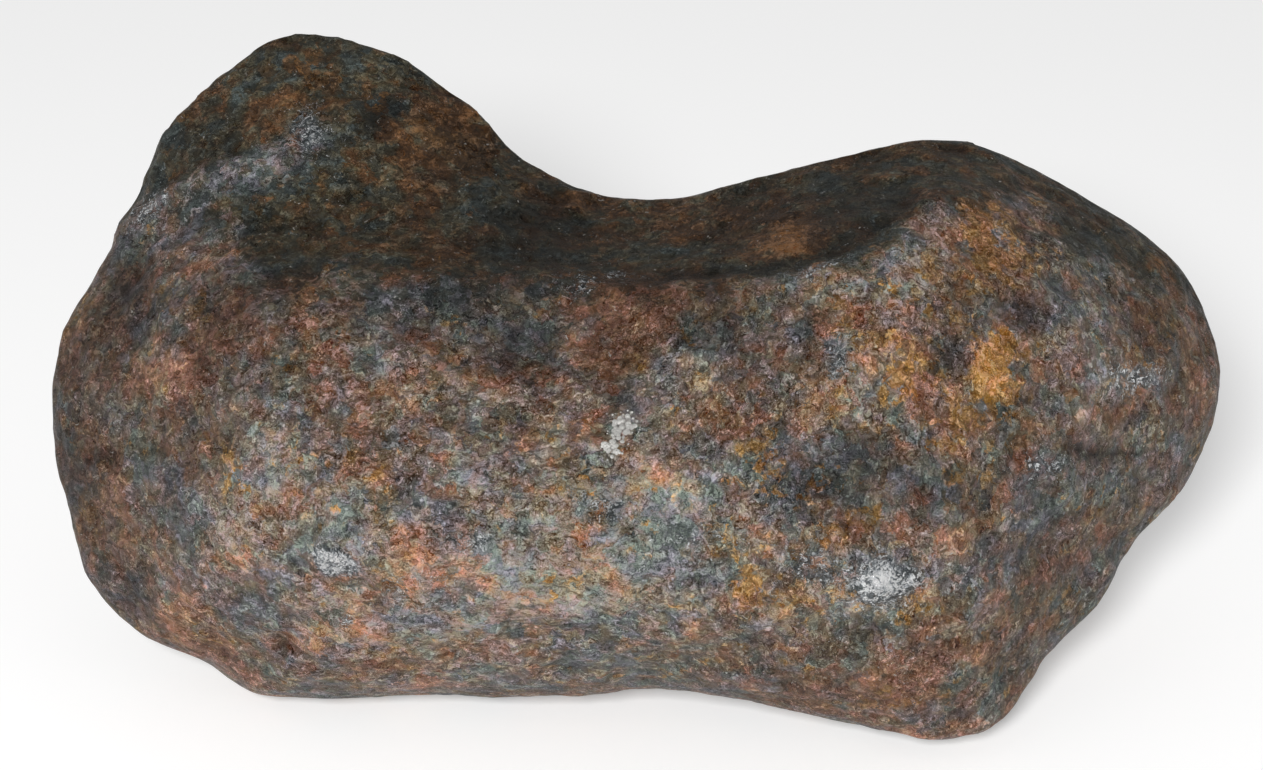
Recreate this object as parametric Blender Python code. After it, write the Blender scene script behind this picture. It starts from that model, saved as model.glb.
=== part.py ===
"""An iron meteorite: one lump of nickel-iron, saddle-topped, standing on its own underside.

The lump is described the way it is seen face on. In that broadside frame x runs along its length,
z runs up its broad face and y runs through it, from the front (negative) to the back (positive).
A rim goes round the lump, and two smooth sheets, one bent through the sections of the front and
one through those of the back, are closed onto it with a rounded edge. Broad hollows are pressed
into the back, the lump is leaned back to the way it lies, and its underside is worn flat.
"""

import math

import bmesh
import bpy
import numpy as np

MM = 0.001

# Driving dimensions.
LENGTH = 200.0 * MM
LEAN = math.radians(25.0)  # how far the broad face leans back from upright
MIDDLE = np.array([-12.0, -12.0])  # x and z of the line that the rim is read round, mm
ROUNDING = 1.5  # stretch in z that makes the long rim nearly round, so that angles read it evenly
SHEET_REACH = 1.5  # how much further the sheets stay smooth along x than along z
EDGE_FULLNESS = 5.0  # how square the edge is between the faces: 2 would be an ellipse
FOOT_WEAR = 2.2  # height worn off the lowest points of the underside, mm
SPHERE_DETAIL = 5  # subdivisions of the sphere that the lump is made from

# The rim that is seen broadside: (x, z, y) in mm, going round from the right-hand end over the top.
# It and the sections are stated for a lump RIM_LENGTH long, and follow LENGTH.
RIM_LENGTH = 200.0
RIM = [
    (100.0, 2.0, 2), (98.0, 10.8, 3), (95.0, 17.4, 4), (90.2, 22.8, 5), (80.6, 29.6, 5),
    (70.3, 35.5, 4), (62.0, 39.2, 3), (55.5, 41.0, 2), (48.5, 41.2, 0), (41.5, 40.0, -2),
    (28.0, 36.5, -3), (17.8, 33.8, -3), (9.2, 31.5, -3), (0.7, 31.0, -3), (-8.8, 32.6, -2),
    (-15.8, 36.0, 0), (-22.8, 40.9, 2), (-27.6, 46.4, 4), (-34.6, 51.6, 5), (-41.0, 55.8, 6),
    (-50.0, 58.6, 7), (-57.5, 60.0, 7), (-64.0, 58.4, 7), (-67.9, 55.6, 7), (-74.9, 49.6, 6),
    (-81.6, 42.3, 5), (-84.2, 36.0, 4), (-88.4, 26.8, 3), (-92.8, 18.2, 2), (-97.3, 10.8, 1),
    (-99.4, 4.0, 0), (-100.0, -7.0, -1), (-99.0, -15.5, -2), (-97.0, -22.0, -2),
    (-95.8, -27.6, -2), (-93.6, -34.0, -2), (-88.6, -40.2, -2), (-81.2, -45.2, -2),
    (-74.4, -47.6, -2), (-69.8, -50.6, -2), (-65.2, -53.2, -2), (-55.8, -54.2, -2),
    (-37.0, -53.2, -4), (-23.0, -53.6, -6), (-6.2, -52.9, -9), (4.5, -52.2, -11),
    (11.0, -52.5, -13), (21.2, -54.2, -15), (36.6, -57.7, -18), (43.5, -59.4, -19),
    (50.3, -60.4, -20), (56.8, -59.0, -20), (61.4, -56.2, -19), (64.9, -51.6, -17),
    (68.6, -46.4, -15), (79.0, -36.3, -10), (84.0, -27.5, -6), (93.0, -18.3, -2),
    (97.6, -9.8, 0), (99.7, -3.0, 1),
]

# Sections of the front face: at each x, its (z, y) from the bottom up, before the edge is rounded.
FRONT_SECTIONS = {
    -85: [(-30, -20), (-12, -25), (6, -22), (22, -13)],
    -65: [
        (-42, -30), (-26, -38), (-8, -39), (6, -36), (15, -31),
        (22, -25), (30, -15), (37, -12), (48, -5), (57, 2),
    ],
    -45: [
        (-42, -36), (-28, -46), (-12, -45), (2, -40), (12, -35),
        (18, -30), (26, -18), (34, -12), (44, -7), (55, 0),
    ],
    -25: [(-42, -38), (-28, -48), (-12, -46), (0, -41), (10, -36), (16, -31), (22, -22), (30, -13), (40, -4)],
    -5: [(-43, -38), (-28, -49), (-12, -47), (0, -42), (10, -37), (17, -32), (22, -23), (29, -12)],
    20: [(-46, -38), (-30, -48), (-12, -48), (0, -45), (12, -41), (18, -36), (24, -25), (31, -13)],
    40: [(-50, -38), (-34, -47), (-14, -49), (8, -47), (20, -42), (25, -36), (31, -24), (37, -12)],
    55: [(-50, -38), (-35, -45), (-12, -46), (10, -43), (24, -37), (32, -30), (37, -18)],
    72: [(-38, -30), (-20, -38), (0, -39), (16, -35), (27, -26), (31, -16)],
    88: [(-18, -24), (0, -27), (12, -24), (19, -15)],
}
BACK_SECTIONS = {
    -75: [(-25, 24), (0, 30), (25, 26), (42, 22)],
    -50: [(-38, 28), (-10, 40), (15, 39), (40, 31), (53, 25)],
    -30: [(-38, 30), (-10, 41), (15, 38), (36, 28)],
    -5: [(-40, 32), (-15, 42), (10, 38), (27, 26)],
    25: [(-42, 28), (-15, 41), (10, 38), (30, 25)],
    55: [(-46, 20), (-20, 36), (10, 37), (34, 26)],
    82: [(-15, 24), (5, 29), (20, 23)],
}

# Thumbprint hollows of the back: (x, z, reach in x, reach in z, depth), in mm.
HOLLOWS = [
    (-40.0, 12.0, 22.0, 17.0, 4.0), (8.0, -8.0, 17.0, 15.0, 4.5), (50.0, 8.0, 18.0, 13.0, 3.5),
    (-62.0, -18.0, 15.0, 14.0, 3.0), (44.0, -28.0, 15.0, 11.0, 2.5),
]
HOLLOW_FADE = 4.0  # how far behind the rim the hollows begin, mm


def hermite(start, start_slope, end, end_slope, span, u):
    """The cubic from start to end over span, with those slopes at its ends, read at the share u."""
    return (
        (2 * u**3 - 3 * u**2 + 1) * start
        + (u**3 - 2 * u**2 + u) * span * start_slope
        + (3 * u**2 - 2 * u**3) * end
        + (u**3 - u**2) * span * end_slope
    )


def read_rim(theta):
    """Reads the rim at the angles theta: its stretched radius and its y, on a closed cubic."""
    table = np.array(RIM, float)
    x, z = (table[:, :2] - MIDDLE).T * [[1.0], [ROUNDING]]
    angles = np.arctan2(z, x)
    columns = np.column_stack([np.hypot(x, z), table[:, 2]])
    order = np.argsort(angles)
    turn = 2 * math.pi
    knots = np.concatenate([angles[order] - turn, angles[order], angles[order] + turn])
    values = np.tile(columns[order], (3, 1))
    slopes = np.gradient(values, knots, axis=0)
    i = np.searchsorted(knots, theta, side="right") - 1
    span = (knots[i + 1] - knots[i])[:, None]
    u = (theta - knots[i])[:, None] / span
    return hermite(values[i], slopes[i], values[i + 1], slopes[i + 1], span, u).T


def sheet_through(sections, x, z):
    """The y at x, z of the smooth sheet through the sections: a thin plate bent to meet them."""
    known = np.array([(at, up, y) for at, line in sections.items() for up, y in line], float)

    def bend(dx, dz):
        square = (dx / SHEET_REACH) ** 2 + dz**2 + 1e-9
        return square * np.log(square)

    plane = np.column_stack([np.ones(len(known)), known[:, :2]])
    among_known = bend(known[:, 0] - known[:, :1], known[:, 1] - known[:, 1:2])
    system = np.block([[among_known, plane], [plane.T, np.zeros((3, 3))]])
    weights = np.linalg.solve(system, np.append(known[:, 2], np.zeros(3)))
    bent = bend(x[:, None] - known[:, 0], z[:, None] - known[:, 1]) @ weights[:-3]
    return bent + weights[-3] + weights[-2] * x + weights[-1] * z


def pillow(directions):
    """Unit directions carried onto the lump in the broadside frame, in mm.

    A direction's angle round the y axis picks a point of the rim, and its tilt from that axis says
    how far towards the rim it lands. The sheet gives y there, and the edge closes as a round one.
    """
    theta = np.arctan2(directions[:, 2], directions[:, 0])
    share = np.hypot(directions[:, 0], directions[:, 2])
    radius, rim_y = read_rim(theta)
    x = MIDDLE[0] + share * radius * np.cos(theta)
    z = MIDDLE[1] + share * radius * np.sin(theta) / ROUNDING
    in_front = directions[:, 1] < 0
    sheet_y = np.where(in_front, sheet_through(FRONT_SECTIONS, x, z), sheet_through(BACK_SECTIONS, x, z))
    closing = np.sqrt(1 - np.minimum(share, 1.0) ** EDGE_FULLNESS)
    y = rim_y + (sheet_y - rim_y) * closing
    return np.column_stack([x, y, z])


def pressed(points):
    """Each hollow moves the back towards the middle of the lump, by a bell curve."""
    outward = points / np.linalg.norm(points, axis=1, keepdims=True)
    at_the_back = 1 / (1 + np.exp(-points[:, 1] / HOLLOW_FADE))
    depth = np.zeros(len(points))
    for x, z, reach_x, reach_z, deepest in HOLLOWS:
        across = ((points[:, 0] - x) / reach_x) ** 2 + ((points[:, 2] - z) / reach_z) ** 2
        depth += deepest * np.exp(-across)
    return points - outward * (depth * at_the_back)[:, None]


def leaned(points):
    """The broadside frame leaned back, its top away from the front, into a frame that stands up."""
    x, y, z = points.T
    return np.column_stack(
        [x, z * math.sin(LEAN) + y * math.cos(LEAN), z * math.cos(LEAN) - y * math.sin(LEAN)]
    )


def stone_surface(directions):
    """Unit directions carried onto the lump as it lies, in metres."""
    return leaned(pressed(pillow(directions))) * LENGTH / RIM_LENGTH


def standing(points):
    """The underside worn flat and set down on z = 0, with the lump centred over the origin."""
    floor = points[:, 2].min() + FOOT_WEAR * MM
    points[:, 2] = np.maximum(points[:, 2], floor) - floor
    points[:, :2] -= (points[:, :2].min(axis=0) + points[:, :2].max(axis=0)) / 2
    return points


def crust_material():
    """The rusted crust of weathered nickel-iron."""
    material = bpy.data.materials.new("rusted_nickel_iron")
    material.use_nodes = True
    shader = material.node_tree.nodes["Principled BSDF"]
    shader.inputs["Base Color"].default_value = (0.115, 0.078, 0.052, 1.0)
    shader.inputs["Roughness"].default_value = 0.62
    shader.inputs["Metallic"].default_value = 0.35
    return material


def make_meteorite(collection):
    """A sphere whose points are moved onto the lump's surface."""
    lump = bmesh.new()
    bmesh.ops.create_icosphere(lump, subdivisions=SPHERE_DETAIL, radius=1.0)
    mesh = bpy.data.meshes.new("meteorite")
    lump.to_mesh(mesh)
    lump.free()
    directions = np.empty(len(mesh.vertices) * 3, np.float32)
    mesh.vertices.foreach_get("co", directions)
    directions = directions.reshape(-1, 3).astype(float)
    directions /= np.linalg.norm(directions, axis=1, keepdims=True)
    points = standing(stone_surface(directions))
    mesh.vertices.foreach_set("co", points.astype(np.float32).ravel())
    mesh.update()
    mesh.shade_smooth()
    mesh.materials.append(crust_material())
    collection.objects.link(bpy.data.objects.new("meteorite", mesh))


def main():
    for obj in list(bpy.data.objects):
        bpy.data.objects.remove(obj)
    collection = bpy.data.collections.new("iron_meteorite")
    bpy.context.scene.collection.children.link(collection)
    make_meteorite(collection)


main()
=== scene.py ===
"""The looks of a rusted iron meteorite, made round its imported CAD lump.

The crust is one closed grid of numpy points. It takes the lump's own broadside form, which is stated
the way the lump is seen face on: x along its length, z up its broad face, y through it from the front
(negative) to the back, all in mm. Relief is then raised and sunk along the surface's normals, and the
whole is leaned back, worn flat underneath and set down exactly where the CAD lump stands.
"""

import itertools
import math

import bpy
import numpy as np
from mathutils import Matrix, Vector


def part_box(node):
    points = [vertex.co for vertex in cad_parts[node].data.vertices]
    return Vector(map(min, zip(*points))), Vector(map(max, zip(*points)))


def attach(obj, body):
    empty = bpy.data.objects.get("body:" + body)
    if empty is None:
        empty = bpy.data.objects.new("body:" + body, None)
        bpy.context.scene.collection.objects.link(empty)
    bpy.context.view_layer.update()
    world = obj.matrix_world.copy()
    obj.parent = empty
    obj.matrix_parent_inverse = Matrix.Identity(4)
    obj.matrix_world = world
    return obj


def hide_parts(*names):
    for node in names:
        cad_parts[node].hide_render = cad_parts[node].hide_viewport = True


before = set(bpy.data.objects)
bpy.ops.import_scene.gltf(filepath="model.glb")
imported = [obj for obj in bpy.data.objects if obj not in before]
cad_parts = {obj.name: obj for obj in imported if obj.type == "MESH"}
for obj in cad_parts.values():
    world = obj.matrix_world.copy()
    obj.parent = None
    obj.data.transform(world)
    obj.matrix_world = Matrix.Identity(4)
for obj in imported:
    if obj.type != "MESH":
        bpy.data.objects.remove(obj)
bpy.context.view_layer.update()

LUMP_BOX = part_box("meteorite")
MM = 0.001

# The lump's form, as the CAD states it.
LEAN = math.radians(25.0)  # how far the broad face leans back from upright
MIDDLE = np.array([-12.0, -12.0])  # x and z of the line that the rim is read round, mm
ROUNDING = 1.5  # stretch in z that makes the long rim nearly round, so that angles read it evenly
SHEET_REACH = 1.5  # how much further the sheets stay smooth along x than along z
EDGE_FULLNESS = 5.0  # how square the edge is between the faces: 2 would be an ellipse
FOOT_WEAR = 2.2  # height worn off the lowest points of the underside, mm
HOLLOW_FADE = 4.0  # how gently the hollows fade in from front to back, mm
# The rim: (x, z, y) in mm, going round from the right-hand end over the top.
RIM = [
    (100.0, 2.0, 2), (98.0, 10.8, 3), (95.0, 17.4, 4), (90.2, 22.8, 5), (80.6, 29.6, 5),
    (70.3, 35.5, 4), (62.0, 39.2, 3), (55.5, 41.0, 2), (48.5, 41.2, 0), (41.5, 40.0, -2),
    (28.0, 36.5, -3), (17.8, 33.8, -3), (9.2, 31.5, -3), (0.7, 31.0, -3), (-8.8, 32.6, -2),
    (-15.8, 36.0, 0), (-22.8, 40.9, 2), (-27.6, 46.4, 4), (-34.6, 51.6, 5), (-41.0, 55.8, 6),
    (-50.0, 58.6, 7), (-57.5, 60.0, 7), (-64.0, 58.4, 7), (-67.9, 55.6, 7), (-74.9, 49.6, 6),
    (-81.6, 42.3, 5), (-84.2, 36.0, 4), (-88.4, 26.8, 3), (-92.8, 18.2, 2), (-97.3, 10.8, 1),
    (-99.4, 4.0, 0), (-100.0, -7.0, -1), (-99.0, -15.5, -2), (-97.0, -22.0, -2),
    (-95.8, -27.6, -2), (-93.6, -34.0, -2), (-88.6, -40.2, -2), (-81.2, -45.2, -2),
    (-74.4, -47.6, -2), (-69.8, -50.6, -2), (-65.2, -53.2, -2), (-55.8, -54.2, -2),
    (-37.0, -53.2, -4), (-23.0, -53.6, -6), (-6.2, -52.9, -9), (4.5, -52.2, -11),
    (11.0, -52.5, -13), (21.2, -54.2, -15), (36.6, -57.7, -18), (43.5, -59.4, -19),
    (50.3, -60.4, -20), (56.8, -59.0, -20), (61.4, -56.2, -19), (64.9, -51.6, -17),
    (68.6, -46.4, -15), (79.0, -36.3, -10), (84.0, -27.5, -6), (93.0, -18.3, -2),
    (97.6, -9.8, 0), (99.7, -3.0, 1),
]
# Sections of the front and of the back: at each x, its (z, y) from the bottom up, in mm, before the
# edge is rounded.
FRONT_SECTIONS = {
    -85: [(-30, -20), (-12, -25), (6, -22), (22, -13)],
    -65: [
        (-42, -30), (-26, -38), (-8, -39), (6, -36), (15, -31),
        (22, -25), (30, -15), (37, -12), (48, -5), (57, 2),
    ],
    -45: [
        (-42, -36), (-28, -46), (-12, -45), (2, -40), (12, -35),
        (18, -30), (26, -18), (34, -12), (44, -7), (55, 0),
    ],
    -25: [(-42, -38), (-28, -48), (-12, -46), (0, -41), (10, -36), (16, -31), (22, -22), (30, -13), (40, -4)],
    -5: [(-43, -38), (-28, -49), (-12, -47), (0, -42), (10, -37), (17, -32), (22, -23), (29, -12)],
    20: [(-46, -38), (-30, -48), (-12, -48), (0, -45), (12, -41), (18, -36), (24, -25), (31, -13)],
    40: [(-50, -38), (-34, -47), (-14, -49), (8, -47), (20, -42), (25, -36), (31, -24), (37, -12)],
    55: [(-50, -38), (-35, -45), (-12, -46), (10, -43), (24, -37), (32, -30), (37, -18)],
    72: [(-38, -30), (-20, -38), (0, -39), (16, -35), (27, -26), (31, -16)],
    88: [(-18, -24), (0, -27), (12, -24), (19, -15)],
}
BACK_SECTIONS = {
    -75: [(-25, 24), (0, 30), (25, 26), (42, 22)],
    -50: [(-38, 28), (-10, 40), (15, 39), (40, 31), (53, 25)],
    -30: [(-38, 30), (-10, 41), (15, 38), (36, 28)],
    -5: [(-40, 32), (-15, 42), (10, 38), (27, 26)],
    25: [(-42, 28), (-15, 41), (10, 38), (30, 25)],
    55: [(-46, 20), (-20, 36), (10, 37), (34, 26)],
    82: [(-15, 24), (5, 29), (20, 23)],
}
# Thumbprint hollows of the back: (x, z, reach in x, reach in z, depth), in mm.
HOLLOWS = [
    (-40.0, 12.0, 22.0, 17.0, 4.0), (8.0, -8.0, 17.0, 15.0, 4.5), (50.0, 8.0, 18.0, 13.0, 3.5),
    (-62.0, -18.0, 15.0, 14.0, 3.0), (44.0, -28.0, 15.0, 11.0, 2.5),
]

# The crust's grid: cells along x, y and z of the box that its sphere starts as.
CELLS = (176, 120, 96)


# ---------------------------------------------------------------- the lump's form


def hermite(start, start_slope, end, end_slope, span, u):
    """The cubic from start to end over span, with those slopes at its ends, read at the share u."""
    return (
        (2 * u**3 - 3 * u**2 + 1) * start
        + (u**3 - 2 * u**2 + u) * span * start_slope
        + (3 * u**2 - 2 * u**3) * end
        + (u**3 - u**2) * span * end_slope
    )


def read_rim(theta):
    """Reads the rim at the angles theta: its stretched radius and its y, on a closed cubic."""
    table = np.array(RIM, float)
    x, z = (table[:, :2] - MIDDLE).T * [[1.0], [ROUNDING]]
    angles = np.arctan2(z, x)
    columns = np.column_stack([np.hypot(x, z), table[:, 2]])
    order = np.argsort(angles)
    turn = 2 * math.pi
    knots = np.concatenate([angles[order] - turn, angles[order], angles[order] + turn])
    values = np.tile(columns[order], (3, 1))
    slopes = np.gradient(values, knots, axis=0)
    i = np.searchsorted(knots, theta, side="right") - 1
    span = (knots[i + 1] - knots[i])[:, None]
    u = (theta - knots[i])[:, None] / span
    return hermite(values[i], slopes[i], values[i + 1], slopes[i + 1], span, u).T


def sheet_through(sections, x, z):
    """The y at x, z of the smooth sheet through the sections: a thin plate bent to meet them."""
    known = np.array([(at, up, y) for at, line in sections.items() for up, y in line], float)

    def bend(dx, dz):
        square = (dx / SHEET_REACH) ** 2 + dz**2 + 1e-9
        return square * np.log(square)

    plane = np.column_stack([np.ones(len(known)), known[:, :2]])
    among_known = bend(known[:, 0] - known[:, :1], known[:, 1] - known[:, 1:2])
    system = np.block([[among_known, plane], [plane.T, np.zeros((3, 3))]])
    weights = np.linalg.solve(system, np.append(known[:, 2], np.zeros(3)))
    bent = bend(x[:, None] - known[:, 0], z[:, None] - known[:, 1]) @ weights[:-3]
    return bent + weights[-3] + weights[-2] * x + weights[-1] * z


def pillow(directions):
    """Unit directions carried onto the lump in the broadside frame, in mm.

    A direction's angle round the y axis picks a point of the rim, and its tilt from that axis says
    how far towards the rim it lands. The sheet gives y there, and the edge closes as a round one.
    """
    theta = np.arctan2(directions[:, 2], directions[:, 0])
    share = np.hypot(directions[:, 0], directions[:, 2])
    radius, rim_y = read_rim(theta)
    x = MIDDLE[0] + share * radius * np.cos(theta)
    z = MIDDLE[1] + share * radius * np.sin(theta) / ROUNDING
    in_front = directions[:, 1] < 0
    sheet_y = np.where(in_front, sheet_through(FRONT_SECTIONS, x, z), sheet_through(BACK_SECTIONS, x, z))
    closing = np.sqrt(1 - np.minimum(share, 1.0) ** EDGE_FULLNESS)
    y = rim_y + (sheet_y - rim_y) * closing
    return np.column_stack([x, y, z])


def pressed(points):
    """Each hollow moves the back towards the middle of the lump, by a bell curve of x and z."""
    outward = points / np.linalg.norm(points, axis=1, keepdims=True)
    at_the_back = 1 / (1 + np.exp(-points[:, 1] / HOLLOW_FADE))
    depth = np.zeros(len(points))
    for x, z, reach_x, reach_z, deepest in HOLLOWS:
        across = ((points[:, 0] - x) / reach_x) ** 2 + ((points[:, 2] - z) / reach_z) ** 2
        depth += deepest * np.exp(-across)
    return points - outward * (depth * at_the_back)[:, None]


def leaned(points):
    """The broadside frame leaned back, its top away from the front, into a frame that stands up."""
    x, y, z = points.T
    return np.column_stack(
        [x, z * math.sin(LEAN) + y * math.cos(LEAN), z * math.cos(LEAN) - y * math.sin(LEAN)]
    )


def standing(points, floor):
    """The underside worn flat at the floor's height, and the whole stretched to fill the CAD's box."""
    points[:, 2] = np.maximum(points[:, 2], floor) - floor
    low, high = points.min(axis=0), points.max(axis=0)
    box_low, box_high = np.array(LUMP_BOX[0]), np.array(LUMP_BOX[1])
    return box_low + (points - low) / (high - low) * (box_high - box_low)


# ---------------------------------------------------------------- the grid


def sphere_grid(cells):
    """A closed grid on a sphere: unit directions, and quads that face outwards.

    The six sides of a box of whole-numbered cells share their edge corners. A corner's place along
    each axis is taken as an angle from -45 to 45 degrees, and its tangents are a direction.
    """
    sides = []
    for axis in range(3):
        u, v = (axis + 1) % 3, (axis + 2) % 3
        near = np.zeros((cells[u], cells[v], 4, 3), int)
        for corner, (step_u, step_v) in enumerate([(0, 0), (1, 0), (1, 1), (0, 1)]):
            near[:, :, corner, u] = np.arange(cells[u])[:, None] + step_u
            near[:, :, corner, v] = np.arange(cells[v])[None, :] + step_v
        far = near.copy()
        far[..., axis] = cells[axis]
        sides += [far.reshape(-1, 4, 3), near.reshape(-1, 4, 3)[:, ::-1]]
    corners, quads = np.unique(np.concatenate(sides).reshape(-1, 3), axis=0, return_inverse=True)
    directions = np.tan((2 * corners / np.array(cells) - 1) * math.pi / 4)
    directions /= np.linalg.norm(directions, axis=1, keepdims=True)
    return directions, quads.reshape(-1, 4)


def normals_of(points, quads):
    """Unit normals: each quad's is the cross product of its diagonals, and a point sums its quads'."""
    a, b, c, d = (points[quads[:, k]] for k in range(4))
    across = np.cross(c - a, d - b)
    summed = np.zeros_like(points)
    for k in range(4):
        for axis in range(3):
            summed[:, axis] += np.bincount(quads[:, k], across[:, axis], len(points))
    return summed / np.linalg.norm(summed, axis=1, keepdims=True)


# ---------------------------------------------------------------- patterns in numpy


# Large odd numbers that scatter neighbouring cells and seeds far apart when they are multiplied.
CELL_KEYS = (73856093, 19349663, 83492791)
SEED_KEY = 2654435761
SHUFFLES = [(13, 1274126177), (16, 668265263)]
LARGEST = 0x7FFFFFFF
NOISE_GAIN = 1.6  # what brings gradient noise to about -1 to 1


def hashed(cell, seed):
    """A number from 0 to 1 for each whole-numbered cell, the same for the same cell and seed.

    The cell's keyed numbers are mixed bit by bit, and twice folded onto themselves and multiplied.
    """
    x_key, y_key, z_key = CELL_KEYS
    mixed = cell[:, 0] * x_key ^ cell[:, 1] * y_key ^ cell[:, 2] * z_key ^ seed * SEED_KEY
    for bits, factor in SHUFFLES:
        mixed = (mixed ^ (mixed >> bits)) * factor & LARGEST
    return mixed / LARGEST


def noise(points, size, seed):
    """Gradient noise from about -1 to 1, with swells about size wide: each lattice corner slopes in a
    direction of its own, and the eight slopes round a point are blended by a smooth fade."""
    place = points / size
    cell = np.floor(place).astype(np.int64)
    within = place - cell
    fade = within**3 * (within * (within * 6 - 15) + 10)
    total = np.zeros(len(points))
    for corner in itertools.product((0, 1), repeat=3):
        at = cell + corner
        slope = np.column_stack([hashed(at, seed * 3 + k) for k in range(3)]) * 2 - 1
        weight = np.prod(np.where(corner, fade, 1 - fade), axis=1)
        total += weight * np.sum(slope * (within - corner), axis=1)
    return total * NOISE_GAIN


def layered(points, size, layers, seed, fall=0.5):
    """Noise summed over layers, each half as wide as the last and fall times as high."""
    return sum(fall**k * noise(points, size / 2**k, seed + k) for k in range(layers))


def ridged(points, size, seed):
    """From 0 to 1, with sharp crests where the noise crosses zero."""
    return 1 - np.minimum(np.abs(noise(points, size, seed)) * 2.2, 1.0)


def scattered_pits(points, spacing, share, seed):
    """Round pits strewn at random: each lattice cell may hold one, which is a bowl with a low rim.
    The bowl is 1 deep at its middle, the rim stands 0.3 high where the bowl ends."""
    place = points / spacing
    cell = np.floor(place).astype(np.int64)
    height = np.zeros(len(points))
    for step in itertools.product((-1, 0, 1), repeat=3):
        at = cell + step
        heart = at + 0.25 + 0.5 * np.column_stack([hashed(at, seed + k) for k in range(3)])
        radius = 0.2 + 0.3 * hashed(at, seed + 3)
        apart = np.linalg.norm(place - heart, axis=1) / radius
        bowl = -np.exp(-((apart * 1.4) ** 4)) + 0.3 * np.exp(-(((apart - 1.05) / 0.25) ** 2))
        height += np.where(hashed(at, seed + 4) < share, bowl, 0)
    return height


def plates(points, size, seed):
    """Flakes about size wide, standing from -1 to 1: each place takes the height of its nearest
    scattered heart, and falls to 0 in a groove where the next heart is as near."""
    place = points / size
    cell = np.floor(place).astype(np.int64)
    nearest, second = np.full(len(points), 9.0), np.full(len(points), 9.0)
    height = np.zeros(len(points))
    for step in itertools.product((-1, 0, 1), repeat=3):
        at = cell + step
        heart = at + np.column_stack([hashed(at, seed + k) for k in range(3)])
        apart = np.linalg.norm(place - heart, axis=1)
        second = np.minimum(second, np.maximum(nearest, apart))
        height = np.where(apart < nearest, hashed(at, seed + 3) * 2 - 1, height)
        nearest = np.minimum(nearest, apart)
    return height * smooth_step(second - nearest, 0.0, 0.3)


def smooth_step(value, low, high):
    """0 below low, 1 above high, and a smooth rise between: 3u^2 - 2u^3 at the share u of the way."""
    u = np.clip((value - low) / (high - low), 0, 1)
    return u * u * (3 - 2 * u)


def bell(places, x, z, reach_x, reach_z, turn=0.0):
    """A bell curve of x and z in the broadside frame, on the front only, turned by turn degrees."""
    c, s = math.cos(math.radians(turn)), math.sin(math.radians(turn))
    dx, dz = places[:, 0] - x, places[:, 2] - z
    along, across = (c * dx + s * dz) / reach_x, (c * dz - s * dx) / reach_z
    return np.exp(-(along**2) - across**2) * in_front(places)


def in_front(places):
    """1 on the front and 0 on the back, changing over a few mm behind the rim."""
    return 1 / (1 + np.exp((places[:, 1] - 6.0) / 2.0))


def near_line(places, line, reach):
    """A bell curve of the distance in x and z from a line of straight runs, on the front only."""
    nearest = np.full(len(places), np.inf)
    here = places[:, [0, 2]]
    for start, end in zip(line, line[1:]):
        start, run = np.array(start, float), np.subtract(end, start, dtype=float)
        along = np.clip((here - start) @ run / (run @ run), 0, 1)
        nearest = np.minimum(nearest, np.linalg.norm(here - start - along[:, None] * run, axis=1))
    return np.exp(-((nearest / reach) ** 2)) * in_front(places)


# ---------------------------------------------------------------- relief

# The brow where the dark top meets the lit front, and the lines that go with it: (x, z) in mm.
BROW = [
    (-100, 16), (-92, 22), (-86, 27), (-74, 28.5), (-68, 26.5), (-62, 19), (-39, 16), (-12, 15.5), (10, 14.5),
    (27, 17), (40, 21), (49, 29), (69, 31), (72, 23), (80, 20.5), (93, 14), (100, 6),
]
BROW_RIDGE = BROW[6:12]
# How gradual the change from front to top is: some x, and how many mm it is counted in at each.
BROW_WIDTH = [(-90, -50, -10, 8, 100), (6, 10, 8, 4, 5)]
BROW_RAGGEDNESS = 2.2  # how far in mm its edge is pulled up and down
LEFT_CREST = [(-88, 26.5), (-80, 30.5), (-69, 35), (-60, 37), (-55.5, 41.5)]
LOBE_CREASE = [(-2, -50), (18, -43), (36, -37.5), (52, -33.5), (68, -27)]
# Rust pits with a rim: (x, z, radius, depth).
RIMMED_PITS = [
    (-88.3, -12.8, 2.6, 0.9), (-58.0, -43.3, 2.4, 0.8), (62.0, -10.2, 2.4, 0.7), (-6.1, -20.8, 2.8, 0.4),
    (-73.0, 5.0, 1.6, 0.5), (31.5, 11.5, 3.4, 0.5), (64.0, 26.0, 2.2, 0.5), (-27.0, -25.0, 1.8, 0.3),
    (13.0, -28.0, 2.6, 0.4), (50.0, 3.5, 3.6, 0.6), (4.0, 29.5, 1.2, 0.4), (-44.0, 44.0, 3.4, 0.5),
]
# Broad dips and swells of the front: (x, z, reach in x, reach in z, turn in degrees, height).
FRONT_FORMS = [
    (-20.0, 7.0, 14.0, 4.5, -6.0, -1.7), (14.0, 8.0, 7.0, 3.5, 8.0, -1.0),
    (-56.0, 24.5, 12.0, 4.5, 0.0, -1.3), (-3.0, -6.5, 5.0, 6.0, 0.0, -0.9), (38.5, -31.5, 6.5, 4.5, 0.0, 1.3),
    (1.5, 11.0, 8.0, 5.0, 20.0, 0.9), (48.0, -60.0, 12.0, 9.0, 20.0, -0.9), (58.0, 3.0, 5.0, 6.0, 0.0, -0.5),
    (-48.0, -26.0, 9.0, 6.0, 0.0, 0.6), (75.0, 8.0, 8.0, 6.0, 30.0, -0.7),
    (-80.0, -4.0, 8.0, 10.0, 0.0, -0.8), (24.0, -14.0, 8.0, 7.0, 0.0, -0.6),
    (48.0, 27.5, 4.0, 3.0, 40.0, 0.9),
]
CRACK = [(71, -10.5), (76, -12), (83, -12)]
BROW_CREVICE = [(5, 17.5), (18, 18.5), (27, 20.5), (35, 23.5), (41, 26.5), (46, 31)]
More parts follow.
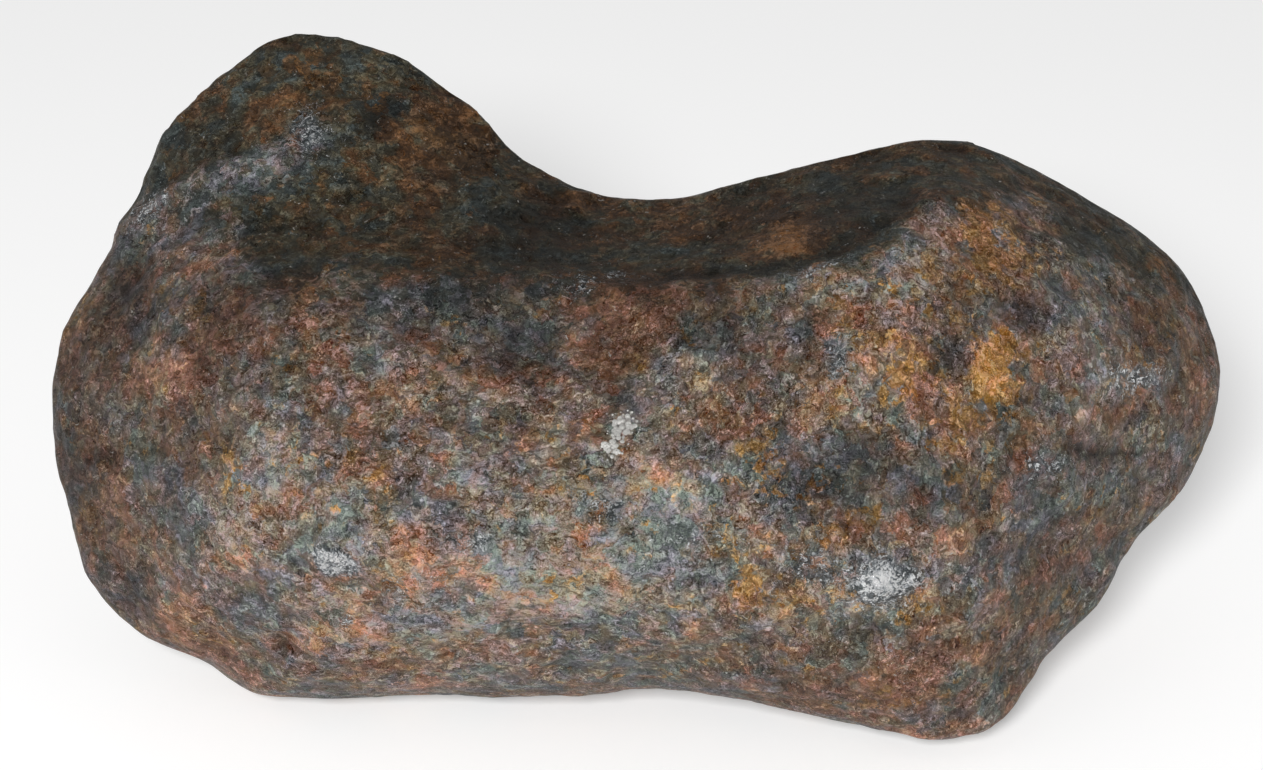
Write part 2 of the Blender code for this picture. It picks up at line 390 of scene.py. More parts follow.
# The lines that stand proud or are sunk: (line, height, reach to each side), in mm.
RELIEF_LINES = [
    (BROW_RIDGE, 0.9, 2.6), (BROW_CREVICE, -0.7, 1.5), (CRACK, -0.6, 1.2),
    (LEFT_CREST, 1.0, 2.2), (LOBE_CREASE, -0.9, 2.4),
]
# How far flakes are pulled about in mm, how they are squashed along x, y and z, and what share of the
# overall relief is left at the rim.
FLAKE_PULL = 1.6
FLAKE_SQUASH = np.array([0.8, 1.0, 1.1])
RIM_RELIEF = 0.3
# The pit of the pale mineral grain, (x, z, reach in x, reach in z), and the grain in it, as blobs:
# (x, z, radius).
GRAIN_PIT = (-3.0, -7.0, 3.4, 4.2)
GRAIN_PIT_DEPTH = 1.3
GRAIN_RISE = 1.1
GRAIN_BLOBS = [(-2.2, -6.0, 2.3), (-4.2, -9.8, 1.8)]


def brow_height(places):
    """How far above the brow line a place is, in mm, with a ragged edge."""
    line = np.array(BROW, float)
    ragged = layered(places, 9.0, 3, seed=61) * BROW_RAGGEDNESS
    return places[:, 2] - np.interp(places[:, 0], line[:, 0], line[:, 1]) + ragged


def rimmed_pit(places, x, z, radius):
    """A flat-floored pit 1 deep with a rim 0.35 high just outside it, its edge pulled about by noise."""
    apart = np.hypot(places[:, 0] - x, places[:, 2] - z) / radius
    apart = apart * (1 + 0.25 * noise(places, radius * 1.3, seed=71))
    pit = -np.exp(-(apart**4)) + 0.35 * np.exp(-(((apart - 1.25) / 0.25) ** 2))
    return pit * in_front(places)


def overall_relief(places):
    """Height in mm of the crust's swells and flakes, the same all round the lump.

    Broad and middling noise, ridges, flakes of two sizes on places that are pulled about, and pits
    of two sizes are added up, each times its height, with its width in mm and its seed.
    """
    pull = np.column_stack([layered(places, 5.0, 2, seed) for seed in (91, 93, 95)])
    pulled = places + FLAKE_PULL * pull
    height = 0.9 * noise(places, 30.0, 11) + 0.6 * noise(places, 15.0, 12)
    height += 0.40 * layered(places, 7.5, 3, 13, fall=0.6)
    height += 0.30 * (ridged(places, 10.0, 21) ** 2 - 0.3)
    height += 0.46 * plates(pulled * FLAKE_SQUASH, 6.5, 101)
    height += 0.26 * plates(pulled * FLAKE_SQUASH, 3.2, 111)
    height += 0.45 * scattered_pits(places, 11.0, 0.35, 41)
    return height + 0.20 * scattered_pits(places, 4.2, 0.5, 51)


def crust_relief(places, normals, overall):
    """Height in mm that the crust stands proud of the smooth lump.

    The overall relief is worn down towards the rim, where the normals turn sideways. A bell curve is
    added for each form of the front, then the rimmed pits, the lines and the mineral grain in its pit.
    """
    height = overall * (RIM_RELIEF + (1 - RIM_RELIEF) * smooth_step(np.abs(normals[:, 1]), 0.1, 0.6))
    for x, z, reach_x, reach_z, turn, rise in FRONT_FORMS:
        height += rise * bell(places, x, z, reach_x, reach_z, turn)
    for x, z, radius, deep in RIMMED_PITS:
        height += deep * rimmed_pit(places, x, z, radius)
    for line, rise, reach in RELIEF_LINES:
        height += rise * near_line(places, line, reach)
    height -= GRAIN_PIT_DEPTH * bell(places, *GRAIN_PIT)
    for x, z, radius in GRAIN_BLOBS:
        height += GRAIN_RISE * bell(places, x, z, radius, radius)
    return height


# ---------------------------------------------------------------- how the rust's colour drifts

# Patches of the front where the rust is paler or darker, warmer or cooler than elsewhere; some are
# painted sheen and shade: (x, z, reach in x, reach in z, turn in degrees, paler, warmer).
PATCHES = [
    # red and brown rust
    (1.5, 12.0, 8.0, 4.5, 15, 0.02, 0.9), (25.0, 23.0, 4.5, 2.2, 8, 0.5, 0.6),
    (-66.0, 8.0, 6.0, 3.0, 0, 0.0, 0.3), (14.0, -2.0, 8.0, 6.0, -10, 0.05, 0.3),
    (31.0, 15.0, 9.0, 4.0, 12, 0.2, 0.3), (86.0, 9.0, 6.0, 6.0, 0, -0.2, 0.15),
    (-10.0, -8.0, 1.2, 4.0, 0, -0.3, 0.5), (-55.0, -44.0, 9.0, 4.0, 0, 0.0, 0.3),
    (50.0, -46.0, 12.0, 5.0, 10, 0.05, 0.3), (-70.0, 20.0, 7.0, 3.5, 10, 0.1, 0.4),
    (-80.0, -38.0, 8.0, 5.0, -30, -0.05, 0.15), (-50.0, 6.0, 14.0, 6.0, 0, 0.1, 0.25),
    (24.0, 27.0, 8.0, 4.0, 0, 0.0, 0.3), (56.0, -19.0, 8.0, 7.0, 0, 0.12, 0.4),
    (-6.8, -8.5, 1.3, 4.0, 0, -0.5, 0.6), (-38.0, 38.0, 14.0, 8.0, -40, 0.1, 0.2),
    # slate
    (26.5, 9.0, 3.5, 4.0, 0, -0.3, -0.5), (50.0, 4.0, 4.5, 4.0, 0, -0.08, -0.5),
    (24.0, -15.0, 9.0, 4.0, -12, -0.25, -0.35), (52.0, -18.0, 5.0, 4.0, 0, -0.3, -0.35),
    (-22.0, 6.5, 13.0, 4.5, -8, -0.2, -0.25), (13.0, 8.5, 6.0, 3.0, 10, -0.3, -0.3),
    (-86.0, 14.0, 5.0, 5.0, 40, -0.2, -0.2), (-66.0, -38.0, 4.0, 3.5, 0, -0.2, -0.4),
    (6.0, -25.0, 4.0, 4.0, 0, -0.15, -0.4), (64.0, 12.0, 4.0, 3.0, 0, -0.3, -0.3),
    (-44.0, 46.0, 4.5, 3.5, 0, -0.35, -0.7), (88.0, -2.0, 4.0, 6.0, 0, -0.1, -0.3),
    (-30.0, 14.0, 8.0, 3.0, 0, -0.15, -0.2), (-5.0, 2.0, 4.0, 4.0, 0, -0.2, -0.3),
    (-56.0, 42.5, 4.0, 5.5, 0, 0.05, -0.5), (95.0, 12.0, 5.0, 7.0, 0, 0.0, -0.35),
    (39.0, -19.0, 8.0, 6.0, 0, -0.03, -0.25), (-31.0, -20.0, 8.0, 6.0, 0, 0.03, -0.3),
    (-1.5, -1.5, 3.5, 2.5, 0, -0.35, -0.2), (-14.0, -20.0, 8.0, 8.0, 0, 0.03, -0.2),
    # pale bloom, a painted sheen
    (-30.0, -28.0, 36.0, 14.0, 0, 0.2, 0.0), (0.0, -18.0, 20.0, 14.0, 0, 0.22, 0.0),
    (-6.0, -21.0, 4.0, 3.0, 0, 0.2, -0.4), (38.5, -32.0, 9.0, 6.0, 0, 0.3, -0.45),
    (-27.0, -25.0, 4.0, 3.0, 0, 0.2, -0.3), (-62.0, -16.0, 14.0, 12.0, 0, 0.2, -0.05),
    (42.0, 18.0, 6.0, 8.0, 0, 0.1, -0.2), (84.0, 1.0, 7.0, 4.0, 0, 0.2, -0.35),
    (33.0, 3.5, 1.6, 4.0, -20, 0.3, -0.5), (-75.0, 31.0, 15.0, 3.5, 22, 0.1, -0.5),
    (-20.0, -2.0, 20.0, 6.0, 0, 0.08, 0.0), (33.0, 5.0, 14.0, 10.0, 0, 0.12, 0.1),
    (39.5, -32.0, 9.0, 6.0, 0, 0.15, -0.2), (58.0, 2.5, 4.0, 5.0, 0, 0.3, 0.0),
    (57.0, 25.0, 4.0, 6.0, 10, 0.15, 0.0), (-90.0, -5.0, 8.0, 8.0, 0, 0.15, 0.0),
    (-60.0, 50.0, 16.0, 8.0, 0, 0.1, 0.0), (-14.0, -34.0, 12.0, 6.0, 0, 0.16, -0.2),
    (4.0, -20.0, 10.0, 8.0, 0, 0.15, -0.1), (-60.0, -42.0, 12.0, 5.0, 0, 0.12, 0.05),
    # painted shade: the dim ends and the shaded top
    (37.0, -12.0, 8.0, 5.0, 10, -0.15, -0.15), (-70.0, 14.0, 16.0, 8.0, 0, -0.12, 0.1),
    (-95.0, -10.0, 12.0, 26.0, 0, -0.42, 0.0), (77.0, -24.0, 14.0, 10.0, 0, -0.15, 0.05),
    (99.0, 5.0, 10.0, 14.0, 0, -0.2, 0.1), (-86.0, 20.0, 7.0, 8.0, 0, -0.2, 0.0),
    (-75.0, -8.0, 10.0, 8.0, 0, -0.12, 0.0), (-18.0, 25.0, 16.0, 8.0, 0, -0.25, 0.0),
    (30.0, 29.0, 14.0, 6.0, 0, -0.22, 0.05), (75.0, 31.0, 16.0, 7.0, 0, -0.15, 0.0),
    (-25.0, 12.0, 42.0, 6.0, 0, -0.16, -0.1), (4.0, 13.0, 9.0, 6.0, 0, -0.12, 0.1),
    (30.0, -51.0, 26.0, 8.0, 0, -0.12, 0.0), (62.0, -42.0, 14.0, 10.0, 0, -0.12, 0.0),
    (-68.0, 12.0, 10.0, 6.0, 0, -0.12, -0.05), (-72.0, -20.0, 10.0, 9.0, 0, -0.2, 0.0),
]
# Patches of ochre: (x, z, reach in x, reach in z, turn in degrees, strength).
OCHRE = [
    (56.5, 26.0, 3.5, 5.0, 10, 1.3), (60.5, 19.5, 5.0, 3.5, 0, 1.1), (58.0, 2.5, 4.0, 4.5, 0, 1.6),
    (44.0, 1.0, 6.0, 4.0, 20, 0.8), (50.0, -7.0, 8.0, 4.0, 0, 0.7), (21.0, -10.0, 3.5, 7.0, 0, 0.8),
    (18.5, -34.0, 4.5, 4.5, 0, 0.7), (-45.0, -12.0, 6.0, 3.0, 0, 0.7), (71.0, -28.0, 4.0, 4.0, 0, 0.7),
    (-27.0, 37.5, 6.0, 2.5, -35, 1.3), (-74.0, 12.0, 7.0, 4.0, 0, 0.6), (83.0, 8.0, 5.0, 4.0, 0, 0.3),
    (-62.0, -14.0, 8.0, 4.0, 0, 0.4), (-58.0, 54.0, 4.0, 2.5, 0, 0.8), (40.0, -52.0, 7.0, 3.0, 0, 0.6),
    (32.0, -20.0, 10.0, 6.0, 0, 0.4), (45.0, 10.0, 14.0, 8.0, 0, 0.5), (-52.0, 53.0, 10.0, 3.0, -20, 0.6),
    (-34.0, 41.5, 13.0, 3.0, -31, 1.0), (-8.0, 26.0, 5.0, 2.0, 10, 0.4), (62.0, 28.0, 7.0, 4.0, 30, 0.5),
]
# Where wear shows bare metal on the front, its facets painted as glints:
# (x, z, reach in x, reach in z, turn in degrees, strength).
WEAR_AND_GLINT_SPOTS = [
    (-83.0, 29.5, 5.5, 3.0, 25, 0.72), (-56.0, 42.5, 3.6, 5.5, 0, 0.8), (39.5, -32.0, 6.0, 4.5, 0, 1.6),
    (39.5, -32.5, 3.5, 2.5, 0, 1.0), (-48.0, -28.5, 3.2, 1.8, -35, 2.2), (-48.0, -38.5, 1.8, 1.4, 0, 1.0),
    (83.0, 1.0, 7.0, 4.0, 0, 0.8), (-6.0, -20.5, 3.6, 3.2, 0, 0.75), (-6.0, 17.0, 8.0, 1.4, 3, 0.5),
    (30.0, 18.0, 7.0, 1.4, 14, 0.8), (67.0, -13.0, 5.0, 3.0, 0, 0.6), (-27.0, -25.0, 3.4, 3.0, 0, 0.7),
    (33.0, 4.0, 1.6, 4.5, -20, 0.8), (10.0, -24.0, 9.0, 5.0, 0, 0.4), (28.0, -28.0, 5.0, 3.0, 0, 0.6),
    (-36.0, -34.0, 12.0, 5.0, 0, 0.35),
]
PATCH_RAGGEDNESS = 2.5  # how far in mm the patches' outlines are pulled about
RELIEF_WEAR_AND_SHADE = 0.14  # how much paler the rust is for each mm that it stands proud, and darker, as painted shade, for each mm sunk


def drifts(places, relief):
    """How the crust changes from place to place, as one number from about -1 to 1 for each change.

    The hidden back drifts by noise alone. High spots are worn paler, and low spots hold painted shade.
    """
    front = in_front(places)
    pull = np.column_stack([layered(places, 9.0, 3, seed) for seed in (72, 75, 78)])
    ragged = places + PATCH_RAGGEDNESS * pull
    # High spots paler as wear, low spots darker as painted shade.
    tone_sheen_and_shade = RELIEF_WEAR_AND_SHADE * (relief - 0.9 * noise(places, 30.0, 11))
    tone_sheen_and_shade += (1 - front) * 0.22 * noise(places, 24.0, 81)
    warmer = (1 - front) * 0.4 * noise(places, 19.0, 82)
    ochre = (1 - front) * 1.1 * smooth_step(noise(places, 15.0, 83), 0.3, 0.8)
    for x, z, reach_x, reach_z, turn, light, warm in PATCHES:
        share = bell(ragged, x, z, reach_x, reach_z, turn)
        tone_sheen_and_shade += light * share
        warmer += warm * share
    for x, z, reach_x, reach_z, turn, strength in OCHRE:
        ochre += strength * bell(ragged, x, z, reach_x, reach_z, turn)
    # Painted shade in the rimmed pits, and paler rims round them.
    for x, z, radius, _ in RIMMED_PITS:
        tone_sheen_and_shade += 0.15 * rimmed_pit(places, x, z, radius)
        warmer -= 0.3 * rimmed_pit(places, x, z, radius)
    # Painted shade along the crevice above the brow and in the crack.
    tone_sheen_and_shade -= 0.35 * (near_line(places, BROW_CREVICE, 1.2) + near_line(places, CRACK, 1.0))
    worn = 0.7 * (1 - front) * smooth_step(noise(places, 13.0, 85) + 0.5 * relief, 0.45, 0.9)
    for x, z, reach_x, reach_z, turn, strength in WEAR_AND_GLINT_SPOTS:
        worn += strength * bell(ragged, x, z, reach_x, reach_z, turn)
    behind = smooth_step(noise(places, 40.0, 86) + places[:, 2] / 60, 0.1, 0.7)
    width = np.interp(places[:, 0], *BROW_WIDTH)
    patina = front * smooth_step(brow_height(places) / width, -0.9, 0.7) + (1 - front) * behind
    patina -= 0.6 * near_line(places, LEFT_CREST, 3.5)
    upright = smooth_step(places[:, 0] + 8 * noise(places, 30.0, 87), -18, 28)
    blobs = sum(bell(places, x, z, radius, radius) for x, z, radius in GRAIN_BLOBS)
    return {
        "tone_sheen_and_shade": tone_sheen_and_shade, "warmer": warmer, "ochre": ochre, "worn": worn,
        "patina": patina, "mineral": blobs, "upright": upright,
    }


def make_crust():
    """The crust's mesh: the smooth lump with its relief along the normals, set down like the CAD's."""
    directions, quads = sphere_grid(CELLS)
    smooth = pressed(pillow(directions))
    floor = leaned(smooth)[:, 2].min() + FOOT_WEAR
    normals = normals_of(smooth, quads)
    overall = overall_relief(smooth)
    places = smooth + normals * crust_relief(smooth, normals, overall)[:, None]
    mesh = bpy.data.meshes.new("meteorite_crust")
    mesh.from_pydata(standing(leaned(places), floor), [], quads)
    mesh.shade_smooth()
    for name, amount in drifts(smooth, overall).items():
        layer = mesh.attributes.new(name, "FLOAT", "POINT")
        layer.data.foreach_set("value", amount.astype(np.float32))
    crust = bpy.data.objects.new("meteorite_crust", mesh)
    bpy.context.collection.objects.link(crust)
    return crust


# ---------------------------------------------------------------- the crust's finish

# The rust's hue from coolest to warmest, and the patina's, as linear colours whose green is about 1.
HUES = [
    (0.00, (0.91, 1.00, 1.00)), (0.25, (1.08, 1.00, 0.90)), (0.50, (1.30, 1.00, 0.79)),
    (0.75, (1.48, 1.00, 0.68)), (1.00, (1.84, 0.94, 0.53)),
]
OCHRE_HUE = (2.00, 1.02, 0.36)
PATINA_HUES = [(0.0, (0.80, 1.02, 0.96)), (0.5, (1.24, 1.05, 0.58)), (1.0, (2.05, 0.94, 0.33))]
# What the hue is multiplied by, from mauve rust to green.
TINTS = [(0.0, (1.05, 0.93, 1.08)), (1.0, (0.97, 1.06, 0.90))]
# How light the rust is, from its darkest to its lightest.
TONES = [(0.00, 0.014), (0.20, 0.036), (0.50, 0.085), (0.80, 0.190), (1.00, 0.400)]
# How light the dark patina is, over the same range.
PATINA_TONES = [(0.00, 0.0030), (0.20, 0.0085), (0.50, 0.020), (0.80, 0.053), (1.00, 0.145)]
# The mineral grain's beads, from their middles to the gaps between them.
BEADS = [(0.0, (1.0, 0.99, 0.95)), (0.5, (0.88, 0.86, 0.82)), (0.8, (0.30, 0.27, 0.25))]
# The worn spots' tiny facets, painted as glints, from the dark gaps between them to the brightest.
GLINT_FACETS = [
    (0.0, (0.035, 0.04, 0.045)), (0.35, (0.10, 0.115, 0.125)), (0.6, (0.34, 0.37, 0.39)),
    (0.75, (0.92, 0.94, 0.96)), (1.0, (1.0, 1.0, 1.0)),
]
# How many of each mark there are to a millimetre.
FLAKES_PER_MM = 0.36
CHIPS_PER_MM = 0.75
STROKES_PER_MM = 1.8
FACETS_PER_MM = 2.1
SPECKS_PER_MM = 0.9
BEADS_PER_MM = 1.3
# How much closer marks lie along x, y and z where the strokes run level and where they run upright,
# and the place in mm that both are counted from.
LEVEL_STROKES = (0.45, 0.9, 1.2)
UPRIGHT_STROKES = (1.2, 0.9, 0.5)
STROKES_FROM = (5.0, -40.0, 50.0)
# The colour of the pale specks, which are painted glints.
GLINT_SPECK_COLOUR = (0.46, 0.44, 0.41)
SPECULAR_LEVEL = 0.35
BUMP_DEPTH = 0.0013  # metres that a height of 1 stands proud


class Nodes:
    """Short ways of adding nodes to one material's tree."""

    def __init__(self, material):
        self.tree = material.node_tree

    def add(self, kind, inputs=None, **settings):
        """A new node with its settings, and a value or a link for each input that is given."""
        node = self.tree.nodes.new(kind)
        for name, value in settings.items():
            setattr(node, name, value)
        for socket, value in (inputs or {}).items():
            self.feed(node.inputs[socket], value)
        return node

    def feed(self, socket, value):
        """Links the value to the socket if it is a socket itself, and else sets it there."""
        if isinstance(value, bpy.types.NodeSocket):
            self.tree.links.new(value, socket)
        else:
            socket.default_value = value

    def maths(self, operation, a, b=0.0, c=0.0, clamp=False):
        node = self.add("ShaderNodeMath", {0: a, 1: b, 2: c}, operation=operation, use_clamp=clamp)
        return node.outputs[0]

    def vector(self, operation, a, b=(0, 0, 0), c=(0, 0, 0)):
        return self.add("ShaderNodeVectorMath", {0: a, 1: b, 2: c}, operation=operation).outputs[0]

    def sum_of(self, start, *parts):
        """start, plus each (value, strength) counted from the value's middle, a half."""
        total = start
        for value, strength in parts:
            total = self.maths("ADD", total, self.maths("MULTIPLY_ADD", value, strength, -strength / 2))
        return total

    def drift(self, name):
        """One of the crust's attributes, as drifts() names them."""
        return self.add("ShaderNodeAttribute", attribute_name=name).outputs["Fac"]

    def noise(self, vector, scale, detail=2.0, roughness=0.5, output="Fac"):
        inputs = {"Vector": vector, "Scale": scale, "Detail": detail, "Roughness": roughness}
        return self.add("ShaderNodeTexNoise", inputs).outputs[output]

    def cells(self, vector, scale, output="Color"):
        """A random colour for each cell, or the distance from the cell's heart."""
        return self.add("ShaderNodeTexVoronoi", {"Vector": vector, "Scale": scale}).outputs[output]

    def channels(self, colour):
        return self.add("ShaderNodeSeparateColor", {0: colour}).outputs

    def step(self, value, low, high):
        """0 at low, 1 at high, and a smooth rise between. It falls instead if low is the larger."""
        inputs = {"Value": value, "From Min": low, "From Max": high}
        return self.add("ShaderNodeMapRange", inputs, interpolation_type="SMOOTHSTEP").outputs[0]

    def blend(self, factor, a, b, how="MIX"):
        """Colour a with that share of b mixed in, or of another way to blend."""
        node = self.add("ShaderNodeMix", data_type="RGBA", blend_type=how)
        self.feed(node.inputs[0], factor)
        self.feed(node.inputs[6], a if isinstance(a, bpy.types.NodeSocket) else (*a, 1.0))
        self.feed(node.inputs[7], b if isinstance(b, bpy.types.NodeSocket) else (*b, 1.0))
        return node.outputs[2]

    def ramp(self, factor, stops):
        """The colour or grey that the factor reads off the stops."""
        node = self.add("ShaderNodeValToRGB", {"Fac": factor})
        band = node.color_ramp
        while len(band.elements) < len(stops):
            band.elements.new(0.5)
        for element, (at, colour) in zip(band.elements, stops):
            element.position = at
            element.color = (*colour, 1.0) if isinstance(colour, tuple) else (colour, colour, colour, 1.0)
        return node.outputs[0]


def crust_material():
    """Weathered nickel-iron. Its tone and its warmth are each summed from broad drifts, flakes, strokes
    and grain, and read off as a colour, with painted sheen, shade and highlights in the tone; a dark
    patina covers the top and worn spots show facets painted as glints.

    In each sum a value comes with how strongly it counts, and a place that is moved by an offset
    gives a pattern unlike the one at the place itself.
    """
    material = bpy.data.materials.new("rusted_crust")
    material.use_nodes = True
    make = Nodes(material)
    shader = material.node_tree.nodes["Principled BSDF"]
    place = make.add("ShaderNodeTexCoord").outputs["Object"]
    place = make.vector("MULTIPLY", place, (1000.0, 1000.0, 1000.0))

    # Places pulled about, so that no flake keeps a straight edge.
    pull = make.vector("SUBTRACT", make.noise(place, 0.5, 3, 0.6, "Color"), (0.5, 0.5, 0.5))
    pulled = make.vector("MULTIPLY_ADD", pull, (4.5, 4.5, 4.5), place)

    # Strokes run along the lump at its left, and up and down it at its right.
    upright = make.drift("upright")
    from_middle = make.vector("SUBTRACT", pulled, STROKES_FROM)
    level_place = make.vector("MULTIPLY", from_middle, LEVEL_STROKES)
    upright_place = make.vector("MULTIPLY", from_middle, UPRIGHT_STROKES)
    stroke_place = make.add("ShaderNodeMix", {0: upright}, data_type="VECTOR")
    make.feed(stroke_place.inputs[4], level_place)
    make.feed(stroke_place.inputs[5], upright_place)
    stroke_place = stroke_place.outputs[1]

    cloud = make.noise(place, 0.05, 3, 0.95)
    heat = make.noise(make.vector("ADD", place, (0.0, 90.0, 50.0)), 0.05, 3, 0.95)
    tint = make.noise(make.vector("ADD", place, (70.0, 0.0, 30.0)), 0.09, 3, 0.9)
    flake = make.channels(make.cells(pulled, FLAKES_PER_MM))
    chip = make.channels(make.cells(make.vector("ADD", pulled, (31.0, 7.0, 11.0)), CHIPS_PER_MM))
    stroke = make.channels(make.cells(stroke_place, STROKES_PER_MM))
    grain = make.noise(stroke_place, 0.9, 5, 0.95)
    fine = make.noise(pulled, 2.6, 3, 0.95)
    # Thin sunk creases, darkened in the tone as painted shade.
    shaded_crease = make.noise(stroke_place, 0.33, 4, 0.7)
    shaded_crease = make.step(make.maths("ABSOLUTE", make.maths("SUBTRACT", shaded_crease, 0.5)), 0.014, 0.0)

    # Short bright edges of raised flakes: painted highlights, brighter on the dark patina.
    edge = make.noise(make.vector("ADD", stroke_place, (17.0, 5.0, 23.0)), 0.45, 4, 0.7)
    edge = make.step(make.maths("ABSOLUTE", make.maths("SUBTRACT", edge, 0.5)), 0.018, 0.0)
    edge = make.maths("MULTIPLY", edge, make.step(make.noise(pulled, 0.25, 2, 0.5), 0.48, 0.58))

    # The grain is coarser in some places than in others.
    coarse = make.step(make.noise(make.vector("ADD", place, (0.0, 40.0, 0.0)), 0.13, 2, 0.6), 0.3, 0.7)
    texture = make.sum_of(0.0, (grain, 1.0), (fine, 0.7))
    texture = make.maths("MULTIPLY", texture, make.maths("ADD", coarse, 0.5))

    # The tone starts from the drifts, which hold painted sheen and shade as well as the rust's own patches.
    tone = make.maths("ADD", 0.69, make.drift("tone_sheen_and_shade"))
    tone = make.sum_of(tone, (cloud, 0.58), (flake[0], 0.14), (chip[0], 0.21), (stroke[0], 0.25))
    tone = make.maths("MULTIPLY_ADD", texture, 1.15, tone)
    tone = make.maths("MULTIPLY_ADD", shaded_crease, -0.28, tone)
    # Painted highlights on the flake edges, stronger on the patina.
    edge_highlight = make.maths("MULTIPLY_ADD", make.drift("patina"), 0.3, 0.22)
    tone = make.maths("MULTIPLY_ADD", edge, edge_highlight, tone)
    light = make.ramp(tone, TONES)
    warmth = make.maths("ADD", 0.62, make.drift("warmer"))
    warmth = make.sum_of(warmth, (heat, 4.0), (flake[1], 0.55), (chip[1], 0.2), (tone, -0.2))

    # The finest grain is grey: it adds the same to red, green and blue.
    grit = make.sum_of(make.maths("MULTIPLY", texture, 4.2), (stroke[0], 0.4))
    ochre = make.step(make.sum_of(make.drift("ochre"), (tint, 3.5), (chip[1], 0.7), (grain, 0.8)), 0.5, 0.85)
    hue = make.blend(ochre, make.ramp(warmth, HUES), OCHRE_HUE)
    colour = make.blend(1.0, make.blend(1.0, hue, grit, "ADD"), light, "MULTIPLY")
    tint = make.sum_of(0.5, (tint, 3.0), (flake[2], 0.6), (chip[2], 0.6), (stroke[1], 0.3))
    colour = make.blend(1.0, colour, make.ramp(tint, TINTS), "MULTIPLY")

    # The dark olive patina, frayed by the chips.
    patina = make.sum_of(make.drift("patina"), (chip[2], 0.5), (grain, 2.0))
    patina = make.step(patina, 0.25, 0.75)
    dark = make.blend(ochre, make.ramp(warmth, PATINA_HUES), OCHRE_HUE)
    dark = make.blend(1.0, make.blend(0.6, dark, grit, "ADD"), make.ramp(tone, PATINA_TONES), "MULTIPLY")
    colour = make.blend(patina, colour, dark)

    # Worn spots, frayed by the grain, whose facets are painted as glints. The more worn they are, the more of
    # their facets are painted shining.
    worn = make.sum_of(make.drift("worn"), (fine, 2.4), (chip[2], 0.5))
    worn = make.step(worn, 0.42, 0.62)
    facet = make.channels(make.cells(pulled, FACETS_PER_MM))
    glint = make.sum_of(facet[0], (fine, 1.5), (make.drift("worn"), 0.4))
    glint = make.maths("SUBTRACT", glint, 0.2)
    colour = make.blend(make.maths("MULTIPLY", worn, 0.92), colour, make.ramp(glint, GLINT_FACETS))

    # Rare pale specks, which are painted glints, and the beads of the mineral grain.
    glint_speck = make.cells(pulled, SPECKS_PER_MM, "Distance")
    rare = make.channels(make.cells(pulled, SPECKS_PER_MM))[1]
    glint_speck = make.maths("MULTIPLY", make.step(glint_speck, 0.22, 0.12), make.step(rare, 0.90, 0.93))
    colour = make.blend(make.maths("MULTIPLY", glint_speck, 0.8), colour, GLINT_SPECK_COLOUR)
    bead = make.cells(place, BEADS_PER_MM, "Distance")
    mineral = make.maths("MULTIPLY_ADD", bead, -0.95, make.drift("mineral"))
    mineral = make.step(mineral, 0.0, 0.12)
    colour = make.blend(mineral, colour, make.ramp(bead, BEADS))
    make.feed(shader.inputs["Base Color"], colour)
    shader.inputs["Specular IOR Level"].default_value = SPECULAR_LEVEL

    rough = make.sum_of(0.54, (stroke[2], -0.35), (chip[2], 0.3))
    rough = make.maths("MULTIPLY_ADD", texture, 1.4, rough)
    rough = make.maths("MULTIPLY_ADD", worn, -0.25, rough, clamp=True)
    make.feed(shader.inputs["Roughness"], rough)
    metal = make.maths("MULTIPLY", make.step(glint, 0.3, 0.8), 0.5)
    make.feed(shader.inputs["Metallic"], make.maths("MULTIPLY", worn, metal))

    height = make.sum_of(0.0, (flake[0], 0.20), (chip[0], 0.22), (stroke[0], 0.12))
    height = make.maths("MULTIPLY_ADD", texture, 0.8, height)
    height = make.maths("MULTIPLY_ADD", make.maths("MULTIPLY", worn, facet[1]), 0.12, height)
    height = make.maths("MULTIPLY_ADD", shaded_crease, -0.2, height)
    height = make.maths("MULTIPLY_ADD", edge, 0.15, height)
    height = make.maths("MULTIPLY_ADD", mineral, make.maths("MULTIPLY_ADD", bead, -0.6, 0.4), height)
    bump = make.add("ShaderNodeBump", {"Strength": 1.0, "Distance": BUMP_DEPTH, "Height": height})
    make.feed(shader.inputs["Normal"], bump.outputs[0])
    return material


# ---------------------------------------------------------------- the stage

# Lengths are in metres, the lens is in mm and the lamp's power in watts.
VIEW_ELEVATION = math.radians(26.0)
VIEW_DISTANCE = 0.713
VIEW_AIM = (-0.96 * MM, 0.0, 52.4 * MM)
LENS = 120.0
FLOOR_SIZE = 8.0
FLOOR_SHADE = (0.82, 0.82, 0.82, 1.0)
FLOOR_GLOW = 0.25
KEY_POWER = 30.0
KEY_SIZE = 0.30
KEY_DISTANCE = 1.6
KEY_ELEVATION = math.radians(30.0)
KEY_AZIMUTH = math.radians(-8.0)
SURROUNDINGS_GLOW = 0.35


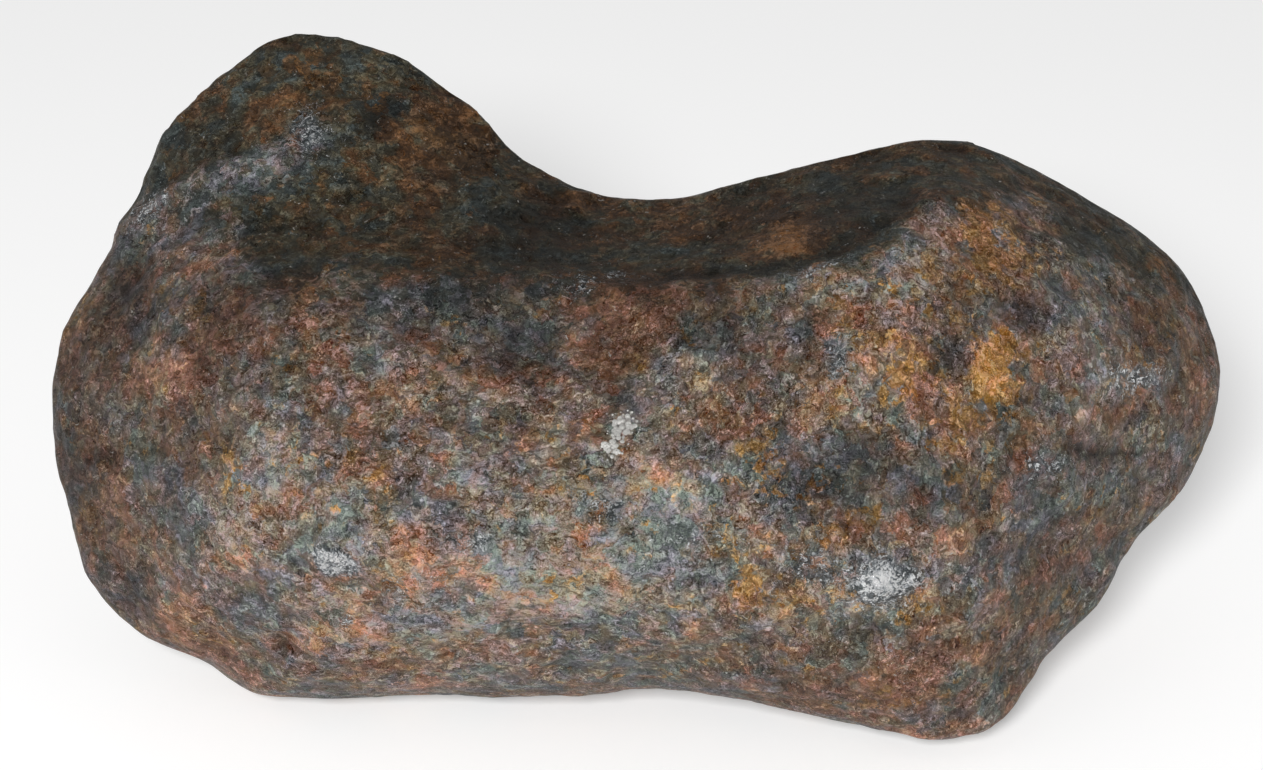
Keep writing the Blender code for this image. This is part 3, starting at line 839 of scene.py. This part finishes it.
def plain_floor():
    """A pale floor under the lump, faintly glowing so that it stays an even white."""
    half = FLOOR_SIZE / 2
    mesh = bpy.data.meshes.new("floor")
    corners = [(-half, -half, 0), (half, -half, 0), (half, half, 0), (-half, half, 0)]
    mesh.from_pydata(corners, [], [(0, 1, 2, 3)])
    material = bpy.data.materials.new("pale_floor")
    material.use_nodes = True
    shader = material.node_tree.nodes["Principled BSDF"]
    shader.inputs["Base Color"].default_value = FLOOR_SHADE
    shader.inputs["Roughness"].default_value = 1.0
    shader.inputs["Specular IOR Level"].default_value = 0.0
    shader.inputs["Emission Color"].default_value = (1, 1, 1, 1)
    shader.inputs["Emission Strength"].default_value = FLOOR_GLOW
    mesh.materials.append(material)
    floor = bpy.data.objects.new("floor", mesh)
    bpy.context.collection.objects.link(floor)


def aimed(thing, away, elevation, azimuth=0.0):
    """Puts a camera or lamp away from the aim at that elevation and azimuth, facing the aim."""
    level = math.cos(elevation)
    back = np.array([math.sin(azimuth) * level, -math.cos(azimuth) * level, math.sin(elevation)])
    thing.location = np.array(VIEW_AIM) + back * away
    thing.rotation_euler = (math.pi / 2 - elevation, 0, azimuth)
    bpy.context.collection.objects.link(thing)


def key_lamp():
    """A soft square lamp, a little above the camera and to its left."""
    light = bpy.data.lights.new("key", "AREA")
    light.energy = KEY_POWER
    light.size = KEY_SIZE
    aimed(bpy.data.objects.new("key", light), KEY_DISTANCE, KEY_ELEVATION, KEY_AZIMUTH)


def make_stage():
    """The camera, the lamp, the pale surroundings and the floor."""
    view = bpy.data.cameras.new("camera")
    view.lens = LENS
    camera = bpy.data.objects.new("camera", view)
    aimed(camera, VIEW_DISTANCE, VIEW_ELEVATION)
    bpy.context.scene.camera = camera
    key_lamp()
    world = bpy.data.worlds.new("surroundings")
    world.use_nodes = True
    world.node_tree.nodes["Background"].inputs["Color"].default_value = (1, 1, 1, 1)
    world.node_tree.nodes["Background"].inputs["Strength"].default_value = SURROUNDINGS_GLOW
    bpy.context.scene.world = world
    bpy.context.scene.view_settings.view_transform = "Standard"
    plain_floor()


make_stage()
crust = make_crust()
crust.data.materials.append(crust_material())
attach(crust, "root")
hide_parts("meteorite")
